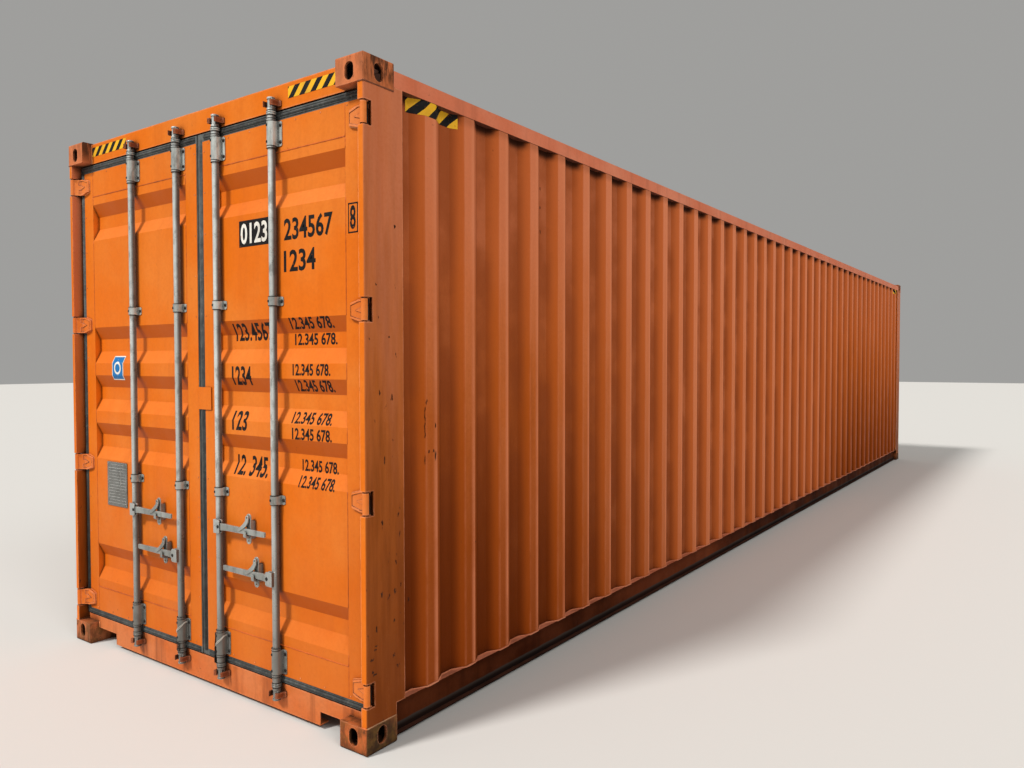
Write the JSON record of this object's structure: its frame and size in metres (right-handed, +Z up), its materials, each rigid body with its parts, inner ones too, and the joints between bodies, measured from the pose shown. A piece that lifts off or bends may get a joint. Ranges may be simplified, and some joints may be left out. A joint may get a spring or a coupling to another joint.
{
  "type": "shipping container, forty-foot high-cube",
  "caption": "Long orange steel freight container with corrugated walls, corner castings and two end doors that open, worked by lock rods and handles.",
  "frame": {"origin": "middle of the footprint, on the plane of the bottom castings' feet", "axes": "+X along the length away from the doors, +Y to the left as seen facing the doors, +Z up"},
  "size_m": [12.192, 2.438, 2.896],
  "materials": {
    "casting_paint": "worn satin",
    "frame_paint": "satin",
    "wall_paint": "faded satin",
    "rail_paint": "dull",
    "door_paint": "satin",
    "keeper_paint": "worn satin",
    "hinge_steel": "worn",
    "galvanised_steel": "dull zinc",
    "gasket_rubber": "matte",
    "floor_wood": "worn"
  },
  "bodies": {
    "container": {"door_bottom_castings": "casting_paint", "door_top_castings": "casting_paint", "front_bottom_castings": "casting_paint", "front_top_castings": "casting_paint", "door_post_left": "frame_paint", "door_post_right": "frame_paint", "door_header": "frame_paint", "door_sill": "frame_paint", "cam_keepers": "keeper_paint", "hinge_pins": "hinge_steel", "front_post_left": "frame_paint", "front_post_right": "frame_paint", "front_header": "frame_paint", "front_sill": "frame_paint", "front_wall": "wall_paint", "side_wall_left": "wall_paint", "side_wall_right": "wall_paint", "top_rail_left": "frame_paint", "top_rail_right": "frame_paint", "bottom_rail_left": "rail_paint", "bottom_rail_right": "rail_paint", "roof": "wall_paint", "floor": "floor_wood", "cross_members": "rail_paint", "gooseneck_tunnel": "rail_paint"},
    "left_door": {"left_door_frame": "door_paint", "left_door_panel": "door_paint", "left_door_gasket": "gasket_rubber", "left_door_hinges": "door_paint", "left_rod_brackets": "galvanised_steel", "left_handle_retainers": "galvanised_steel"},
    "right_door": {"right_door_frame": "door_paint", "right_door_panel": "door_paint", "right_door_gasket": "gasket_rubber", "right_door_hinges": "door_paint", "right_rod_brackets": "galvanised_steel", "right_handle_retainers": "galvanised_steel", "centre_tab": "door_paint"},
    "rod_1": {"lock_rod_1": "galvanised_steel"},
    "rod_2": {"lock_rod_2": "galvanised_steel"},
    "rod_3": {"lock_rod_3": "galvanised_steel"},
    "rod_4": {"lock_rod_4": "galvanised_steel"},
    "grip_1": {"handle_1": "galvanised_steel"},
    "grip_2": {"handle_2": "galvanised_steel"},
    "grip_3": {"handle_3": "galvanised_steel"},
    "grip_4": {"handle_4": "galvanised_steel"}
  },
  "joints": [
    {"name": "left_door_hinge", "type": "hinge", "parent": "container", "child": "left_door", "pos_m": [-6.079, 1.202, 1.459], "axis": [0, 0, -1], "range_deg": [0, 265]},
    {"name": "right_door_hinge", "type": "hinge", "parent": "container", "child": "right_door", "pos_m": [-6.079, -1.202, 1.459], "axis": [0, 0, 1], "range_deg": [0, 265]},
    {"name": "rod_1_turn", "type": "hinge", "parent": "left_door", "child": "rod_1", "pos_m": [-6.064, 0.597, 1.459], "axis": [0, 0, 1], "range_deg": [-100, 0]},
    {"name": "rod_2_turn", "type": "hinge", "parent": "left_door", "child": "rod_2", "pos_m": [-6.064, 0.17, 1.459], "axis": [0, 0, -1], "range_deg": [-100, 0]},
    {"name": "rod_3_turn", "type": "hinge", "parent": "right_door", "child": "rod_3", "pos_m": [-6.064, -0.17, 1.459], "axis": [0, 0, 1], "range_deg": [-100, 0]},
    {"name": "rod_4_turn", "type": "hinge", "parent": "right_door", "child": "rod_4", "pos_m": [-6.064, -0.597, 1.459], "axis": [0, 0, -1], "range_deg": [-100, 0]},
    {"name": "handle_1_lift", "type": "hinge", "parent": "rod_1", "child": "grip_1", "pos_m": [-6.084, 0.569, 0.838], "axis": [1, 0, 0], "range_deg": [-25, 0]},
    {"name": "handle_2_lift", "type": "hinge", "parent": "rod_2", "child": "grip_2", "pos_m": [-6.084, 0.198, 0.641], "axis": [-1, 0, 0], "range_deg": [-25, 0]},
    {"name": "handle_3_lift", "type": "hinge", "parent": "rod_3", "child": "grip_3", "pos_m": [-6.084, -0.198, 0.838], "axis": [1, 0, 0], "range_deg": [-25, 0]},
    {"name": "handle_4_lift", "type": "hinge", "parent": "rod_4", "child": "grip_4", "pos_m": [-6.084, -0.569, 0.641], "axis": [-1, 0, 0], "range_deg": [-25, 0]}
  ]
}
